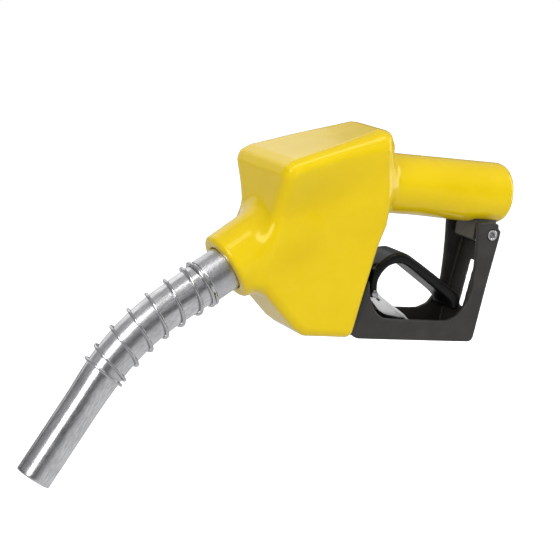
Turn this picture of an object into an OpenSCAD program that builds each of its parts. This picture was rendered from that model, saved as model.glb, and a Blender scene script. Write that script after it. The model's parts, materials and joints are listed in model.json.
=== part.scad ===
// Automatic shut-off fuel nozzle with a bent spout, a dipped hand cover and a plate lever guard.
// Origin: centre of the inlet mouth. +X leaves the inlet to the rear, the spout runs towards -X,
// +Z is up in the pouring attitude and y = 0 is the plane of symmetry. Lengths are in millimetres.

/* [Spout] */
// outside diameter of the spout at its tip
tip_od = 23.8; // [20:0.1:30]
// outside diameter of the spout inside its collar
spout_top_od = 28.6; // [26:0.1:34]
// outside diameter of the spout through its bend
bend_od = 25.8; // [24:0.1:32]
// wall of the spout tube
spout_wall = 1.5; // [1:0.1:3]
// slope of the upper spout below the horizontal
spout_slope = 36.5; // [25:0.5:50]
// how far the spout bends down
bend_deg = 25; // [10:1:45]
// radius of the bend's centreline
bend_r = 160; // [100:5:300]
// length of the final straight
tip_len = 72.7; // [50:0.1:120]

/* [Handle] */
// diameter of the cast handle
handle_od = 36; // [30:0.5:45]
// diameter of the fuel passage in the handle
passage_d = 20; // [14:0.5:24]
// diameter of the inlet thread's wall
inlet_d = 24.6; // [20:0.1:34]
// depth of the inlet thread
inlet_depth = 18; // [12:0.5:30]

/* [Cover] */
// thickness of the dipped cover
cover_wall = 2.5; // [1.5:0.1:4]
// outside diameter of the cover on the handle
cover_handle_od = 40.8; // [36:0.2:50]
// outside diameter of the cover's neck
neck_od = 45.8; // [40:0.2:56]
// width of the cover's brim across its front
top_w_front = 75; // [50:1:84]
// width of the cover's brim across its rear
top_w_rear = 57; // [40:1:70]
// width of the cover's lower part
low_w = 49.6; // [44:0.2:60]

/* [Lever and guard] */
// width across the lever guard's plates
guard_w = 41; // [36:0.5:50]
// thickness of the guard's plates
guard_t = 3.5; // [2:0.1:5]
// width of the lever across its two arms
lever_w = 26; // [20:0.5:32]
// radial clearance of every pivot and slide
run_fit = 0.05; // [0.02:0.01:0.1]
// wire of the anchor spring
anchor_wire = 1.9; // [1.2:0.1:3]
// turns of the anchor spring
anchor_turns = 8.2; // [5:0.1:12]

/* [Hidden] */
$fn = 64;

eps = 0.01;
over = 1;               // how far a cutting tool runs past the face it opens

// the two internal axes lean forward, square to the sloped top
lean = 19;
pivot_x = -134;
pivot_z = -66;
valve_a = 30;           // the main valve stands this far behind the latch axis

// heights above the lever pivot, along the leaning axes
h_roof = 91;            // outside of the cover's top
h_joint = 73.5;         // the casting's top face
h_cap = 82;             // top of both caps
h_seat = 46.4;          // the main valve's seat
h_under = 13.5;         // underside of the casting at the valve stem
h_chamber = 57.5;       // floor of the vacuum chamber
h_shoulder = 60;         // the casting widens to its full width above here

// spout line
neck_x = -206;
neck_z = -64.5;
spout_dir = -(90 + spout_slope);
bend_from = 40.8;       // start of the bend, measured from the neck's rim
collar_end = 16;        // the collar stands this far out of the neck
tube_from = -7.5;       // the tube's hidden end inside the collar
taper_len = 12;
nose_r = 19;            // casting round the collar
collar_r = 15;
collar_screw_r = 1.95;
collar_screw_s = -11;
tip_r = tip_od / 2;
top_r = spout_top_od / 2;
bend_tube_r = bend_od / 2;

// latch and valve sizes
free = 0.1;             // clearance of parts that don't move
plunger_r = 6.5;
plunger_small_r = 5;
latch_pin_r = 2.5;
strainer_r = 11.3;
strainer_seat = 2.4;    // ledge for the strainer behind the inlet's thread
stem_r = 3;
packing_r = 4.4;
stem_dome_h = 3.4;
nut_clear_r = 6;        // opening in the cover round the packing nut
chamber_r = 11;
diaphragm_bore_r = 15.5;
valve_cap_r = 12.2;
seal_t = 1.2;            // flat seal under the valve's cap
cap_len = 34;
cap_w = 48;
cap_screw_r = 1.6;
cap_screw_a = 12.8;
cap_screw_y = 20;

// lever guard
plate_out = guard_w / 2;
plate_in = plate_out - guard_t;
rear_screw_x = -13.4;
rear_screw_z = -27.6;
front_screw_x = -164;
front_screw_z = -80.5;
guard_head_r = 3.8;
lug_w = 22;
lug_boss_r = 5.4;
guard_screw_r = 2.5;

// lever
arm_out = lever_w / 2;
arm_in = 8.8;
tongue_y = 8;
clip_x = -97;
clip_z = -74;
clip_pin_r = 1.6;
clip_y = 8;             // each cheek of the clip stands this far off the middle
clip_t = 1.2;
clip_eye_r = 3.4;
lever_pin_r = 2.5;

// ---- placing helpers ----
// local z runs up the latch axis from the lever pivot, local x runs towards the rear
module at_latch() {
    translate([pivot_x, 0, pivot_z]) rotate([0, -lean, 0]) children();
}

// local z runs up the main valve's axis
module at_valve() {
    at_latch() translate([valve_a, 0, 0]) children();
}

// local z runs out along the spout from the neck's rim, local x faces up and forward
module at_spout() {
    translate([neck_x, 0, neck_z]) rotate([0, spout_dir, 0]) children();
}

// local z continues along the spout after the bend
module after_bend() {
    at_spout() translate([-bend_r, 0, bend_from]) rotate([0, -bend_deg, 0])
        translate([bend_r, 0, 0]) children();
}

// a profile drawn in x and z, w wide and centred on y = 0
module slab(points, w) {
    rotate([90, 0, 0]) linear_extrude(height = w, center = true) polygon(points);
}

// the same profile between y0 and y1
module slab_between(points, y0, y1) {
    translate([0, y1, 0]) rotate([90, 0, 0]) linear_extrude(height = y1 - y0) polygon(points);
}

module tube(r_out, r_in, from, to) {
    difference() {
        translate([0, 0, from]) cylinder(r = r_out, h = to - from);
        translate([0, 0, from - over]) cylinder(r = r_in, h = to - from + 2 * over);
    }
}

module rod(r, from, to) {
    translate([0, 0, from]) cylinder(r = r, h = to - from);
}

// a pin along y
module cross_rod(x, z, r, y0, y1) {
    translate([x, y1, z]) rotate([90, 0, 0]) cylinder(r = r, h = y1 - y0);
}

// the part of a torus that follows the spout's bend
module bend(r, offset = 0) {
    at_spout() translate([-bend_r, 0, bend_from]) rotate([90, 0, 0])
        rotate_extrude(angle = bend_deg, $fn = 200) translate([bend_r + offset, 0]) circle(r = r, $fn = 48);
}

// ---- wire swept along a helix ----
// centre of the coil at turn fraction t of a straight spring
function coil_point(t, r, turns, h) = [r * cos(360 * turns * t), r * sin(360 * turns * t), h * t];
function unit(v) = v / norm(v);
function ring(c, out, up, w, sides) = [for (k = [0 : sides - 1])
    c + w * (cos(360 * k / sides) * out + sin(360 * k / sides) * up)];
function tube_faces(n, sides) = concat(
    [[for (k = [0 : sides - 1]) k]],
    [for (i = [0 : n - 1]) for (k = [0 : sides - 1])
        [i * sides + k, (i + 1) * sides + k, (i + 1) * sides + (k + 1) % sides, i * sides + (k + 1) % sides]],
    [[for (k = [sides - 1 : -1 : 0]) n * sides + k]]);

// a compression spring of mean radius r between heights from and to
module coil(r, wire_r, from, to, turns, steps = 18, sides = 6) {
    n = round(turns * steps);
    h = to - from - 2 * wire_r;
    points = [for (i = [0 : n]) each ring(coil_point(i / n, r, turns, h) + [0, 0, from + wire_r],
        [cos(360 * turns * i / n), sin(360 * turns * i / n), 0], [0, 0, 1], wire_r, sides)];
    polyhedron(points = points, faces = [for (f = tube_faces(n, sides)) [for (k = f) k]], convexity = 10);
}

// ---- anchor spring: follows the spout's centreline round the bend ----
arc_len = bend_r * bend_deg * PI / 180;
wire_from = collar_end + 1.2;
wire_to = bend_from + arc_len - 6;
wire_gap = 0.35;        // between the wire and the tube
wire_start = 0.3;       // where round the tube the first end lies, in turns
// share of the length reached at each share of the turns: closed at the top, drawn in at the bottom
wire_rise = [[0, 0], [0.122, 0.0235], [0.207, 0.081], [0.817, 0.886], [0.878, 0.959], [0.939, 0.982], [1, 1]];
function line_angle(s) = s < bend_from ? 0 : min(bend_deg, (s - bend_from) / bend_r * 180 / PI);
function line_point(s) = s < bend_from ? [0, 0, s]
    : [bend_r * (cos(line_angle(s)) - 1), 0, bend_from + bend_r * sin(line_angle(s))];
function tube_r(s) = s < bend_from
    ? top_r + (bend_tube_r - top_r) * max(0, s - collar_end) / (bend_from - collar_end)
    : bend_tube_r;
function wire_s(t) = wire_from + (wire_to - wire_from) * lookup(t, wire_rise);
function wire_out(t) = let(a = -360 * (wire_start + anchor_turns * t), b = line_angle(wire_s(t)))
    [cos(a) * cos(b), sin(a), cos(a) * sin(b)];
function wire_down(t) = let(b = line_angle(wire_s(t))) [sin(b), 0, -cos(b)];
function wire_point(t) = line_point(wire_s(t))
    + (tube_r(wire_s(t)) + anchor_wire / 2 + wire_gap) * wire_out(t);

module anchor_spring() {
    steps = round(anchor_turns * 24);
    sides = 8;
    points = [for (i = [0 : steps]) each ring(wire_point(i / steps), wire_out(i / steps),
        wire_down(i / steps), anchor_wire / 2, sides)];
    color([0.80, 0.80, 0.81]) at_spout()
        polyhedron(points = points, faces = tube_faces(steps, sides), convexity = 12);
}

// ---- body casting ----
module casting_solid() {
    // handle
    translate([-136, 0, 0]) rotate([0, 90, 0]) cylinder(d = handle_od, h = 136);
    // middle of the body
    slab([[-176, -3.8], [-118, 16.2], [-112, 10], [-109, -20], [-109.5, -43.5], [-176, -43.5],
          [-183, -36], [-180.5, -15]], 39);
    // rear wall of the lower chamber
    slab([[-120, 4], [-107, 4], [-105.2, -12], [-105.7, -20], [-107.6, -32], [-109, -41],
          [-109.8, -43.3], [-120, -43.3]], 30);
    // wide head round the diaphragm
    at_latch() translate([-17.5, -cap_w / 2, h_shoulder]) cube([35, cap_w, h_joint - h_shoulder]);
    // valve chamber
    at_valve() rod(chamber_r + 2.8, 40, h_joint);
    // packing boss
    at_valve() rod(5.6, h_under, 24);
    // nose round the spout's collar
    at_spout() rod(nose_r, -60, -3);
    // front leg to the guard's front screws
    slab([[-174, -40], [-150, -40], [-153, -60], [-157, -89], [-160, -91], [-166.5, -84.5], [-177, -72],
          [-180, -60]], 2 * plate_in - 0.4);
    // rear lug between the guard's plates
    slab([[-22.5, -10], [-22.5, -32], [-21.3, -33.2], [-7, -33.2], [-5, -31.5], [-5, -10]], lug_w);
    cross_rod(rear_screw_x, rear_screw_z, lug_boss_r, -plate_in + 0.2, plate_in - 0.2);
}

module body_casting() {
    color([0.45, 0.44, 0.42]) difference() {
        casting_solid();
        // inlet thread and handle passage
        translate([-inlet_depth, 0, 0]) rotate([0, 90, 0]) cylinder(d = inlet_d, h = inlet_depth + over);
        translate([-inlet_depth - strainer_seat, 0, 0]) rotate([0, 90, 0])
            cylinder(r = strainer_r + 0.1, h = strainer_seat + over);
        translate([-125, 0, 0]) rotate([0, 90, 0]) cylinder(d = passage_d, h = 125 - inlet_depth + over);
        // main valve chamber, throat and stem hole
        at_valve() rod(chamber_r, h_seat - 2, h_joint + over);
        at_valve() rod(7.5, 32, h_seat);
        at_valve() rod(stem_r + 0.25, h_under - over, 40);
        at_valve() rod(packing_r + free, h_under - over, 20);
        // room for the valve's cap above the handle
        at_valve() rod(valve_cap_r + 0.4, h_joint, h_cap + 4);
        // vacuum chamber and plunger bore
        at_latch() rod(diaphragm_bore_r, h_chamber, h_joint + over);
        at_latch() rod(9, 50, h_chamber + over);
        at_latch() rod(plunger_r + run_fit, 10, 51);
        at_latch() rod(8.5, 8, 23.8);
        // lower chamber round the plunger's boss
        difference() {
            slab([[-165, -21.5], [-113.5, -21.5], [-111, -26], [-112, -37], [-165, -37]], 28);
            at_latch() rod(9.2, 20, 60);
        }
        // outlet and collar bore
        at_spout() rod(11, -58, -30);
        at_spout() rod(collar_r + 0.05, -32, 0);
        // collar screw hole
        at_spout() translate([10, 0, collar_screw_s]) rotate([0, 90, 0])
            cylinder(r = collar_screw_r + 0.05, h = 12);
        // guard screw holes
        cross_rod(rear_screw_x, rear_screw_z, guard_head_r + 0.1, -20, 20);
        cross_rod(front_screw_x, front_screw_z, guard_screw_r + 0.1, -20, 20);
        // cap screw holes
        at_latch() for (sx = [-1, 1], sy = [-1, 1])
            translate([sx * cap_screw_a, sy * cap_screw_y, h_joint - 12])
                cylinder(r = cap_screw_r + free, h = 14);
    }
}

// ---- dipped cover ----
head_r = 7;
brim_r = 6;
low_r_corner = 5.5;
head_a_front = -25;
head_a_rear = 50.6;
head_w = 54;
brim_a_front = -30.4;
brim_a_rear = 56.6;
h_brim = 74;            // the brim starts to stand out here

module ball(x, y, z, r) {
    translate([x, y, z]) sphere(r = r, $fn = 28);
}

// head of the cover, nearly flush with its lower part
module cover_head(shrink) {
    r = head_r - shrink;
    hull() {
        for (s = [-1, 1]) {
            at_latch() ball(head_a_front + head_r, s * (head_w / 2 - head_r), h_brim, r);
            at_latch() ball(head_a_rear - head_r, s * (head_w / 2 - head_r), h_brim, r);
            ball(-189.5 + head_r, s * (head_w / 2 - head_r), -16, r);
            ball(-190.5 + head_r, s * (low_w / 2 - head_r), -40, r);
            ball(-104 - head_r, s * (low_w / 2 - head_r), -36, r);
            ball(-100.6 - head_r, s * (low_w / 2 - head_r), -12, r);
        }
    }
}

// brim that stands out round the cover's top
module cover_brim(shrink) {
    r = brim_r - shrink;
    hull() {
        for (s = [-1, 1]) {
            at_latch() ball(brim_a_front + brim_r, s * (top_w_front / 2 - brim_r), h_roof - brim_r, r);
            at_latch() ball(brim_a_rear - brim_r, s * (top_w_rear / 2 - brim_r), h_roof - brim_r, r);
            at_latch() ball(head_a_front + head_r, s * (head_w / 2 - head_r), h_brim, r);
            at_latch() ball(head_a_rear - head_r, s * (head_w / 2 - head_r), h_brim, r);
        }
    }
}

// lower lobe of the cover round the front of the guard
module cover_lobe(shrink) {
    r = low_r_corner - shrink;
    y = low_w / 2 - low_r_corner;
    hull() {
        for (s = [-1, 1]) {
            ball(-189.5 + low_r_corner, s * y, -36, r);
            ball(-190.5 + low_r_corner, s * y, -68, r);
            ball(-173 + low_r_corner, s * y, -81.5, r);
            ball(-154 + low_r_corner * 0.2, s * y, -102 + low_r_corner, r);
            ball(-116 - low_r_corner * 0.9, s * y, -102 + low_r_corner, r);
            ball(-104 - low_r_corner, s * y, -34, r);
        }
    }
}

module hand_cover() {
    color([0.93, 0.80, 0.12]) difference() {
        union() {
            cover_head(0);
            cover_brim(0);
            cover_lobe(0);
            translate([-120, 0, 0]) rotate([0, 90, 0]) cylinder(d = cover_handle_od, h = 120 + 0.2);
            // rounded rear lip
            rotate([0, 90, 0]) rotate_extrude() translate([handle_od / 2, 0])
                circle(r = (cover_handle_od - handle_od) / 2, $fn = 40);
            at_spout() rod(neck_od / 2, -44, 0);
        }
        cover_head(cover_wall);
        cover_brim(cover_wall);
        cover_lobe(cover_wall);
        translate([-121, 0, 0]) rotate([0, 90, 0]) cylinder(r = handle_od / 2 + 0.1, h = 121 + 8);
        at_spout() rod(nose_r + free, -60, over);
        at_spout() rod(15.8, -60, 8);
        // open rear of the lobe, where the guard and the lever come out
        slab([[-112, -44], [-96, -44], [-96, -110], [-112.4, -110], [-122, -97], [-118, -50]], 43);
        // cut-out round the packing nut
        at_valve() rod(nut_clear_r, 4, 24);
        // slot for the rear lug
        slab([[-24.5, -8], [-24.5, -40], [-4, -40], [-4, -8]], lug_w + 1);
    }
}

// ---- diaphragm and its cap ----
module diaphragm_cap() {
    color([0.55, 0.55, 0.55]) at_latch() difference() {
        union() {
            translate([-cap_len / 2, -cap_w / 2, h_joint + 1]) cube([cap_len, cap_w, 3]);
            rod(16.6, h_joint + 1, h_cap);
        }
        rod(13, h_joint, h_cap - 2.5);
        for (sx = [-1, 1], sy = [-1, 1])
            translate([sx * cap_screw_a, sy * cap_screw_y, h_joint])
                cylinder(r = cap_screw_r + 2 * free, h = 6);
    }
}

module cap_screws() {
    color([0.6, 0.6, 0.62]) at_latch() for (sx = [-1, 1], sy = [-1, 1])
        translate([sx * cap_screw_a, sy * cap_screw_y, 0]) difference() {
            union() {
                rod(cap_screw_r, h_joint - 9, h_joint + 4);
                rod(1.75 * cap_screw_r, h_joint + 4, h_joint + 6.2);
            }
            translate([0, 0, h_joint + 5]) cylinder(r = 1.2, h = 3, $fn = 6);
        }
}

module diaphragm() {
    color([0.10, 0.10, 0.10]) at_latch() difference() {
        translate([-cap_len / 2, -cap_w / 2, h_joint]) cube([cap_len, cap_w, 1]);
        rod(latch_pin_r + 0.1, h_joint - over, h_joint + 2);
        for (sx = [-1, 1], sy = [-1, 1])
            translate([sx * cap_screw_a, sy * cap_screw_y, h_joint - over])
                cylinder(r = cap_screw_r + 2 * free, h = 4);
    }
}

module diaphragm_plates() {
    color([0.62, 0.60, 0.55]) at_latch() difference() {
        union() {
            rod(9, h_joint - 1.3, h_joint - 0.1);
            rod(9, h_joint + 1.1, h_joint + 2.1);
        }
        rod(latch_pin_r, h_joint - 3, h_joint + 4);
    }
}

module diaphragm_spring() {
    color([0.7, 0.7, 0.7]) at_latch() coil(6.5, 0.45, h_joint + 2.2, h_cap - 2.6, 3);
}

module latch_pin() {
    color([0.72, 0.72, 0.74]) at_latch() {
        rod(latch_pin_r, 41, h_joint + 2.1);
        rod(4, h_joint + 2.1, h_joint + 2.9);
    }
}

// ---- latch ----
module latch_ring() {
    color([0.55, 0.55, 0.58]) at_latch() tube(8.9, plunger_r + run_fit, 50.1, 56.5);
}

ball_r = 1.9;
ball_h = 48;
ball_centre = plunger_r - ball_r - 0.1;

module latch_plunger() {
    color([0.66, 0.66, 0.68]) at_latch() difference() {
        union() {
            rod(plunger_r, 35, 52);
            rod(plunger_small_r, -7, 36);
        }
        rod(latch_pin_r + run_fit, 33, 53);
        for (k = [0 : 2]) rotate([0, 0, 120 * k + 60]) translate([latch_pin_r, 0, ball_h])
            rotate([0, 90, 0]) cylinder(r = ball_r + run_fit, h = 6);
        // pin hole
        rotate([90, 0, 0]) cylinder(r = lever_pin_r, h = 20, center = true);
    }
}

module latch_balls() {
    color([0.8, 0.8, 0.82]) at_latch() for (k = [0 : 2]) rotate([0, 0, 120 * k + 60])
        translate([ball_centre + 0.15, 0, ball_h]) sphere(r = ball_r - 0.1, $fn = 32);
}

module plunger_guide() {
    color([0.70, 0.58, 0.30]) at_latch() difference() {
        union() {
            rod(8.4, 17, 23.7);
            rod(7.6, 14, 17);
        }
        rod(plunger_small_r + run_fit, 12, 25);
    }
}

module plunger_spring() {
    color([0.7, 0.7, 0.7]) at_latch() coil(5.8, 0.45, 23.9, 34.9, 6);
}

// ---- main valve ----
module seat_ring() {
    color([0.72, 0.60, 0.32]) at_valve() tube(chamber_r - 0.05, 7.5, h_seat - 2, h_seat);
}

module valve_disc() {
    color([0.12, 0.12, 0.12]) at_valve() tube(9.2, 4.1, h_seat + 0.1, h_seat + 2.6);
}

module valve_poppet() {
    color([0.72, 0.60, 0.32]) at_valve() difference() {
        union() {
            rod(9.8, h_seat + 2.6, h_seat + 5.4);
            rod(4, h_seat - 0.4, h_seat + 2.6);
            rod(4.6, h_seat + 5.4, h_seat + 8.5);
        }
        rod(stem_r, h_seat - 2, h_seat + 5);
    }
}

module disc_nut() {
    color([0.72, 0.60, 0.32]) at_valve() difference() {
        translate([0, 0, h_seat - 2.6]) cylinder(r = 6.2, h = 2.1, $fn = 6);
        rod(stem_r, h_seat - 4, h_seat + 4);
    }
}

module valve_stem() {
    color([0.75, 0.75, 0.77]) at_valve() {
        rod(stem_r, stem_dome_h, h_seat + 5);
        translate([0, 0, stem_dome_h]) sphere(r = stem_r);
    }
}

module valve_spring() {
    color([0.7, 0.7, 0.7]) at_valve() coil(6.6, 0.75, h_seat + 5.5, h_cap - 3.1, 6);
}

module valve_cap() {
    color([0.58, 0.58, 0.58]) at_valve() difference() {
        union() {
            rod(valve_cap_r, h_joint + seal_t, h_cap - 4);
            rod(chamber_r - 0.1, h_joint - 5, h_joint + seal_t);
            translate([0, 0, h_cap - 4]) cylinder(r = 9.5, h = 4, $fn = 6);
        }
        rod(8.4, h_joint - 6, h_cap - 3);
    }
}

module valve_cap_seal() {
    color([0.15, 0.15, 0.15]) at_valve() tube(valve_cap_r, chamber_r, h_joint, h_joint + seal_t);
}

module packing_nut() {
    color([0.72, 0.60, 0.32]) at_valve() difference() {
        union() {
            translate([0, 0, 11.6]) cylinder(r = 5, h = h_under - 11.6, $fn = 6);
            rod(packing_r, h_under - eps, 16.5);
        }
        rod(stem_r + run_fit, 10, 18);
    }
}

module stem_seal() {
    color([0.12, 0.12, 0.12]) at_valve() tube(packing_r, stem_r + run_fit, 16.6, 19.9);
}

// ---- spout ----
module spout_collar() {
    color([0.60, 0.60, 0.61]) at_spout() difference() {
        union() {
            difference() {
                rod(collar_r, -22, collar_end);
                rod(10.6, -24, -7);
                rod(top_r + 0.1, -8, collar_end + over);
            }
            // boss that takes the sensing tube
            translate([-13.6, -3, -8.5]) cube([6.4, 6, 6]);
        }
        translate([sense_top, 0, -10]) cylinder(r = sense_r + 0.05, h = 10);
        // seal groove
        difference() {
            rod(16, -16.3, -13.7);
            rod(12.9, -17, -13);
        }
        // collar screw hole
        translate([9, 0, collar_screw_s]) rotate([0, 90, 0]) cylinder(r = collar_screw_r + 0.05, h = 8);
    }
}

module collar_seal() {
    color([0.10, 0.10, 0.10]) at_spout() translate([0, 0, -15]) rotate_extrude()
        translate([13.98, 0]) circle(r = 0.98, $fn = 24);
}

module collar_screw() {
    color([0.55, 0.55, 0.58]) at_spout() difference() {
        translate([11.5, 0, collar_screw_s]) rotate([0, 90, 0]) cylinder(r = collar_screw_r, h = 6.8);
        translate([16.3, 0, collar_screw_s]) rotate([0, 90, 0]) cylinder(r = 1.1, h = 4, $fn = 6);
    }
}

port_r = 1.5;
port_back = 14;
lap = 0.3;              // how far the tip's wall laps over the bend
step = 0.06;            // and how much thicker it is there

// wall of the spout between radii that change along its length
module spout_wall_top() {
    at_spout() rotate_extrude() polygon([[top_r - spout_wall, tube_from], [top_r, tube_from],
        [top_r, collar_end + 1], [bend_tube_r, bend_from], [bend_tube_r - spout_wall, bend_from],
        [top_r - spout_wall, collar_end + 1]]);
}

module spout_wall_bend() {
    at_spout() translate([-bend_r, 0, bend_from]) rotate([90, 0, 0])
        rotate_extrude(angle = bend_deg, $fn = 360) translate([bend_r, 0]) difference() {
            circle(r = bend_tube_r, $fn = 64);
            circle(r = bend_tube_r - spout_wall, $fn = 64);
        }
}

module spout_wall_tip() {
    after_bend() rotate_extrude() polygon([[bend_tube_r - spout_wall - step, -lap],
        [bend_tube_r + step, -lap], [tip_r, taper_len], [tip_r, tip_len],
        [tip_r - spout_wall, tip_len], [tip_r - spout_wall - step, taper_len]]);
}

module spout_tube() {
    color([0.82, 0.82, 0.83]) difference() {
        union() {
            spout_wall_top();
            spout_wall_bend();
            spout_wall_tip();
        }
        at_spout() translate([-15.5, -3.1, -9]) cube([8.4, 6.2, 6.6]);
        after_bend() translate([-tip_r - over, 0, tip_len - port_back]) rotate([0, 90, 0])
            cylinder(r = port_r, h = 6);
    }
}

sense_off = -7.6;
sense_top = -8.3;       // the sensing tube's offset inside the collar
sense_r = 1.8;
sense_bore = 1.1;

module sensing_run(r) {
    at_spout() translate([sense_top, 0, -6.5]) rod(r, 0, 14);
    at_spout() translate([sense_off, 0, 7]) rod(r, 0, bend_from - 7);
    bend(r, sense_off);
    after_bend() translate([sense_off, 0, 0]) rod(r, 0, tip_len - 18);
}

module sensing_tube() {
    color([0.70, 0.55, 0.28]) difference() {
        sensing_run(sense_r);
        sensing_run(sense_bore);
        at_spout() translate([sense_top, 0, -7]) rod(sense_bore, 0, 2);
        after_bend() translate([sense_off, 0, tip_len - 20]) rod(sense_bore, 0, 4);
    }
}

module sensing_fitting() {
    color([0.2, 0.2, 0.2]) after_bend() difference() {
        intersection() {
            translate([-tip_r, -4, tip_len - 24]) cube([8, 8, 14]);
            rod(tip_r - spout_wall - 0.05, tip_len - 30, tip_len);
        }
        translate([sense_off, 0, tip_len - 25]) cylinder(r = sense_r + 0.05, h = 9);
        translate([sense_off, 0, tip_len - 17]) cylinder(r = sense_bore, h = 4);
        translate([-tip_r - over, 0, tip_len - port_back]) rotate([0, 90, 0]) cylinder(r = port_r, h = 6);
    }
}

// ---- check valve in the outlet ----
module check_seat() {
    color([0.72, 0.60, 0.32]) at_spout() tube(14.9, 8, -31.9, -26.2);
}

module check_poppet() {
    color([0.66, 0.66, 0.68]) at_spout() {
        rod(9.6, -26.1, -23.6);
        rod(2, -23.7, -11);
    }
}

module check_guide() {
    color([0.55, 0.55, 0.55]) at_spout() difference() {
        union() {
            rod(3.4, -15, -11.5);
            for (k = [0 : 2]) rotate([0, 0, 120 * k + 60]) translate([0, -1, -14.5]) cube([10.2, 2, 2.5]);
            tube(10.5, 9.4, -15, -11.5);
        }
        rod(2 + run_fit, -17, -10);
    }
}

module check_spring() {
    color([0.7, 0.7, 0.7]) at_spout() coil(2.95, 0.4, -23.5, -15.1, 5);
}

module inlet_strainer() {
    color([0.75, 0.62, 0.34]) translate([-inlet_depth - strainer_seat, 0, 0]) rotate([0, 90, 0])
        difference() {
        union() {
            tube(passage_d / 2 - 0.1, 8.6, -8, 0.2);
            tube(strainer_r, 8.6, 0.05, 1.5);
        }
        for (k = [0 : 11]) rotate([0, 0, 30 * k]) translate([8, 0, -4.5]) rotate([0, 90, 0])
            cylinder(r = 1.3, h = 4, $fn = 16);
    }
}

// ---- lever guard ----
guard_outline = [[-26.9, -18.9], [-12.7, -18], [-9.6, -19.2], [-9, -22.8], [-6.4, -24.8], [-10.8, -63],
    [-14.3, -100], [-15.4, -102.8], [-18, -104], [-108, -104], [-111.4, -103], [-114, -99.4],
    [-120, -98.4], [-151, -98.4], [-158.5, -92], [-165.5, -86], [-170.5, -79.5], [-167, -73], [-156, -74],
    [-150, -86],
    [-113, -86], [-106.8, -62], [-104.5, -74.7], [-101, -81.6], [-96.8, -86], [-91, -89.4],
    [-83, -90], [-39.3, -89.8], [-30.6, -86], [-23.9, -76], [-22.1, -68], [-22.6, -53.5],
    [-23.9, -39], [-26.4, -21.3]];

module lever_guard() {
    color([0.25, 0.24, 0.23]) difference() {
        union() {
            slab_between(guard_outline, plate_in, plate_out);
            slab_between(guard_outline, -plate_out, -plate_in);
            // floor
            slab([[-14.8, -100.6], [-18, -104], [-108, -104], [-111.4, -103], [-114, -99.4], [-109, -99.9],
                  [-107, -100.6]], 2 * plate_in + 2);
            // rear web
            slab([[-9.2, -36], [-7.7, -36], [-10.8, -63], [-14.3, -100], [-15.4, -102.8], [-19, -102.8],
                  [-14.2, -63], [-11, -36]], 2 * plate_in + 2);
        }
        // slot in the rear web
        slab([[-4, -47], [-17, -47], [-21, -84], [-8, -84]], 10);
        cross_rod(rear_screw_x, rear_screw_z, guard_head_r + 0.1, -30, 30);
        cross_rod(front_screw_x, front_screw_z, guard_screw_r + 0.1, -30, 30);
    }
}

module guard_rear_screw() {
    color([0.85, 0.85, 0.86]) difference() {
        cross_rod(rear_screw_x, rear_screw_z, guard_head_r, -plate_out - 0.6, plate_out + 0.6);
        for (s = [-1, 1]) translate([rear_screw_x, s * (plate_out + 0.6), rear_screw_z])
            rotate([90, 0, 0]) cylinder(r = 2.4, h = 9, center = true, $fn = 6);
    }
}

module guard_front_screws() {
    color([0.6, 0.6, 0.62]) for (s = [-1, 1]) mirror([0, s < 0 ? 1 : 0, 0]) {
        cross_rod(front_screw_x, front_screw_z, guard_screw_r, 8, plate_out + 0.1);
        cross_rod(front_screw_x, front_screw_z, guard_head_r, plate_out, plate_out + 1.2);
    }
}

// ---- lever ----
arm_profile = [[-101, -67], [-100.6, -63], [-99.2, -58.7], [-96.4, -54.2], [-92.5, -50.7], [-88.6, -47.8],
    [-85.2, -46.1], [-78.8, -45], [-74.5, -46], [-70.7, -47.8], [-53.8, -56.7], [-28.3, -71.2],
    [-25.2, -74.4], [-24.2, -78.4], [-25.2, -82.4], [-28, -84.2], [-30.6, -83], [-31.6, -79.6],
    [-36.7, -75], [-56.6, -63.6], [-71, -55.2], [-77, -53], [-82.6, -53], [-86.8, -54.4],
    [-89.8, -56.6], [-92.2, -59.6], [-93.6, -62], [-95, -66], [-94, -74], [-95, -76.6],
    [-97, -77.6], [-99, -76.6], [-100.2, -74]];

module lever() {
    color([0.10, 0.10, 0.10]) difference() {
        union() {
            difference() {
                slab(arm_profile, lever_w);
                // space between the two arms, open towards the front
                slab([[-106, -80], [-90.4, -80], [-90.4, -64], [-91.6, -58], [-94, -57],
                      [-96.8, -58.4], [-97.4, -54], [-104, -50], [-108, -60]], 2 * arm_in);
            }
            // tongue to the pivot
            at_latch() slab([[-4.6, -4.6], [0, -6.5], [20, -9.6], [38, -14], [43.5, -10], [44, -3.5],
                             [40, -1.6], [24, -1.2], [8, 5.8], [2, 6.4], [-4, 5], [-6.4, 0]], 2 * tongue_y);
            // ribs from the tongue's sides to the arms
            at_latch() slab([[33.5, -9], [38.6, -8.6], [39.6, -3.6], [34.5, -3]], lever_w);
        }
        // fork round the plunger
        at_latch() slab([[-9, -9], [9, -9], [9, 9], [-9, 9]], 2 * (plunger_small_r + 0.4));
        cross_rod(pivot_x, pivot_z, lever_pin_r + run_fit, -20, 20);
        cross_rod(clip_x, clip_z, clip_pin_r, -20, 20);
        // pad pocket
        at_valve() rod(3.6, -2.6, 2);
    }
}

module lever_pad() {
    color([0.66, 0.66, 0.68]) at_valve() rod(3.5, -2.5, 0.1);
}

module lever_pin() {
    color([0.72, 0.72, 0.74]) {
        cross_rod(pivot_x, pivot_z, lever_pin_r, -9.5, 9.5);
        cross_rod(pivot_x, pivot_z, 3.6, -10.3, -8.3);
    }
}

module clip_pin() {
    color([0.80, 0.80, 0.81]) {
        cross_rod(clip_x, clip_z, clip_pin_r, -arm_out - 1, arm_out + 0.4);
        cross_rod(clip_x, clip_z, 2.6, -arm_out - 1.6, -arm_out - 0.1);
    }
}

module clip_spring() {
    color([0.80, 0.80, 0.81]) translate([clip_x, 0, clip_z]) rotate([90, 0, 0])
        coil(2.75, 0.5, -3.4, 3.4, 5);
}

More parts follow.
